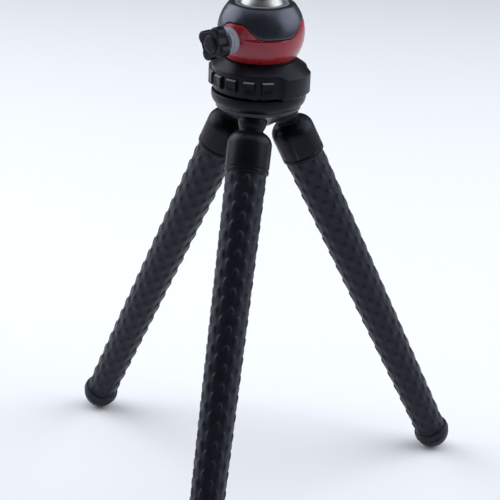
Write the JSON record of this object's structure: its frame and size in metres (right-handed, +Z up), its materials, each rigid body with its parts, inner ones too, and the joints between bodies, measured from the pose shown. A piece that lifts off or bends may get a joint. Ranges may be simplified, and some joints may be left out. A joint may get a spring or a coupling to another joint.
{
  "type": "flexible leg tripod",
  "caption": "Small camera tripod with bendable rubber legs, a lobed lock ring and a round ball head with a lock knob and a camera screw.",
  "frame": {"origin": "on the floor, in the middle of the box around the three feet", "axes": "+Z up along the camera screw, -Y towards the front leg, +X to the right"},
  "size_m": [0.1946, 0.171, 0.2663],
  "materials": {
    "black_plastic": "satin moulded plastic",
    "red_plastic": "glossy moulded plastic",
    "grey_plastic": "satin grey plastic",
    "rubber": "moulded rubber with raised bumps",
    "chrome": "polished chrome",
    "steel": "zinc-plated steel",
    "nylon": "white nylon",
    "core_metal": "soft aluminium wire"
  },
  "bodies": {
    "hub": {"hub_body": "black_plastic", "hub_dish": "black_plastic", "hub_screws": "steel", "pan_washer": "nylon"},
    "ring": {"lock_ring": "black_plastic"},
    "head": {"head_dome": "black_plastic", "head_band": "red_plastic", "head_core": "grey_plastic", "head_base": "black_plastic", "lock_bush": "grey_plastic", "pan_bolt": "steel", "pan_nut": "steel"},
    "screw": {"lock_screw": "steel"},
    "knob": {"lock_knob": "black_plastic", "knob_cap": "black_plastic"},
    "seat": {"ball_seat": "nylon"},
    "ball": {"ball": "chrome"},
    "stem": {"stem": "chrome"},
    "platform": {"camera_plate": "black_plastic", "plate_pad": "rubber", "camera_screw": "steel"},
    "front_hip": {"front_root": "black_plastic", "front_cuff": "black_plastic"},
    "front_link_1": {"front_sleeve_1": "rubber", "front_core_1": "core_metal"},
    "front_link_2": {"front_sleeve_2": "rubber", "front_core_2": "core_metal"},
    "front_link_3": {"front_sleeve_3": "rubber", "front_core_3": "core_metal"},
    "front_link_4": {"front_sleeve_4": "rubber", "front_core_4": "core_metal", "front_foot": "rubber"},
    "right_hip": {"right_root": "black_plastic", "right_cuff": "black_plastic"},
    "right_link_1": {"right_sleeve_1": "rubber", "right_core_1": "core_metal"},
    "right_link_2": {"right_sleeve_2": "rubber", "right_core_2": "core_metal"},
    "right_link_3": {"right_sleeve_3": "rubber", "right_core_3": "core_metal"},
    "right_link_4": {"right_sleeve_4": "rubber", "right_core_4": "core_metal", "right_foot": "rubber"},
    "left_hip": {"left_root": "black_plastic", "left_cuff": "black_plastic"},
    "left_link_1": {"left_sleeve_1": "rubber", "left_core_1": "core_metal"},
    "left_link_2": {"left_sleeve_2": "rubber", "left_core_2": "core_metal"},
    "left_link_3": {"left_sleeve_3": "rubber", "left_core_3": "core_metal"},
    "left_link_4": {"left_sleeve_4": "rubber", "left_core_4": "core_metal", "left_foot": "rubber"}
  },
  "joints": [
    {"name": "ring_turn", "type": "hinge", "parent": "hub", "child": "ring", "pos_m": [0, 0.02553, 0.22634], "axis": [0, 0, 1], "range_deg": [-30, 30]},
    {"name": "head_pan", "type": "hinge", "parent": "hub", "child": "head", "pos_m": [0, 0.02553, 0.22634], "axis": [0, 0, 1], "continuous": true},
    {"name": "screw_feed", "type": "slide", "parent": "head", "child": "screw", "axis": [-0.5736, -0.8192, 0], "range_m": [0, 0.0008]},
    {"name": "knob_turn", "type": "hinge", "parent": "screw", "child": "knob", "pos_m": [0, 0.02553, 0.22494], "axis": [-0.5736, -0.8192, 0], "range_deg": [0, 367]},
    {"name": "seat_drop", "type": "slide", "parent": "head", "child": "seat", "axis": [0, 0, -1], "range_m": [0, 0.000255]},
    {"name": "ball_pan", "type": "hinge", "parent": "head", "child": "ball", "pos_m": [0, 0.02553, 0.23584], "axis": [0, 0, 1], "continuous": true},
    {"name": "stem_tilt", "type": "hinge", "parent": "ball", "child": "stem", "pos_m": [0, 0.02553, 0.23584], "axis": [1, 0, 0], "range_deg": [-40, 40]},
    {"name": "plate_turn", "type": "hinge", "parent": "stem", "child": "platform", "pos_m": [0, 0.02553, 0.23584], "axis": [0, 0, 1], "continuous": true},
    {"name": "front_spread", "type": "hinge", "parent": "hub", "child": "front_hip", "pos_m": [0, 0.01253, 0.18684], "axis": [-1, 0, 0], "range_deg": [-26, 40]},
    {"name": "front_bend_1", "type": "hinge", "parent": "front_hip", "child": "front_link_1", "pos_m": [0, 0.00178, 0.16538], "axis": [0, -0.8942, 0.4478], "range_deg": [-28, 28]},
    {"name": "front_bend_2", "type": "hinge", "parent": "front_link_1", "child": "front_link_2", "pos_m": [0, -0.01753, 0.12682], "axis": [1, 0, 0], "range_deg": [-28, 28]},
    {"name": "front_bend_3", "type": "hinge", "parent": "front_link_2", "child": "front_link_3", "pos_m": [0, -0.03684, 0.08826], "axis": [0, 0.8942, -0.4478], "range_deg": [-28, 28]},
    {"name": "front_bend_4", "type": "hinge", "parent": "front_link_3", "child": "front_link_4", "pos_m": [0, -0.05615, 0.0497], "axis": [-1, 0, 0], "range_deg": [-28, 28]},
    {"name": "right_spread", "type": "hinge", "parent": "hub", "child": "right_hip", "pos_m": [0.01126, 0.03203, 0.18684], "axis": [0.5, -0.866, 0], "range_deg": [-26, 40]},
    {"name": "right_bend_1", "type": "hinge", "parent": "right_hip", "child": "right_link_1", "pos_m": [0.02056, 0.0374, 0.16538], "axis": [0.7744, 0.4471, 0.4478], "range_deg": [-28, 28]},
    {"name": "right_bend_2", "type": "hinge", "parent": "right_link_1", "child": "right_link_2", "pos_m": [0.03729, 0.04705, 0.12682], "axis": [-0.5, 0.866, 0], "range_deg": [-28, 28]},
    {"name": "right_bend_3", "type": "hinge", "parent": "right_link_2", "child": "right_link_3", "pos_m": [0.05401, 0.05671, 0.08826], "axis": [-0.7744, -0.4471, -0.4478], "range_deg": [-28, 28]},
    {"name": "right_bend_4", "type": "hinge", "parent": "right_link_3", "child": "right_link_4", "pos_m": [0.07073, 0.06636, 0.0497], "axis": [0.5, -0.866, 0], "range_deg": [-28, 28]},
    {"name": "left_spread", "type": "hinge", "parent": "hub", "child": "left_hip", "pos_m": [-0.01126, 0.03203, 0.18684], "axis": [0.5, 0.866, 0], "range_deg": [-26, 40]},
    {"name": "left_bend_1", "type": "hinge", "parent": "left_hip", "child": "left_link_1", "pos_m": [-0.02056, 0.0374, 0.16538], "axis": [-0.7744, 0.4471, 0.4478], "range_deg": [-28, 28]},
    {"name": "left_bend_2", "type": "hinge", "parent": "left_link_1", "child": "left_link_2", "pos_m": [-0.03729, 0.04705, 0.12682], "axis": [-0.5, -0.866, 0], "range_deg": [-28, 28]},
    {"name": "left_bend_3", "type": "hinge", "parent": "left_link_2", "child": "left_link_3", "pos_m": [-0.05401, 0.05671, 0.08826], "axis": [0.7744, -0.4471, -0.4478], "range_deg": [-28, 28]},
    {"name": "left_bend_4", "type": "hinge", "parent": "left_link_3", "child": "left_link_4", "pos_m": [-0.07073, 0.06636, 0.0497], "axis": [0.5, 0.866, 0], "range_deg": [-28, 28]}
  ],
  "couplings": [
    {"joint": "knob_turn", "follows": "screw_feed", "rad_per_m": 7854},
    {"joint": "seat_drop", "follows": "screw_feed", "ratio": 0.3125}
  ]
}
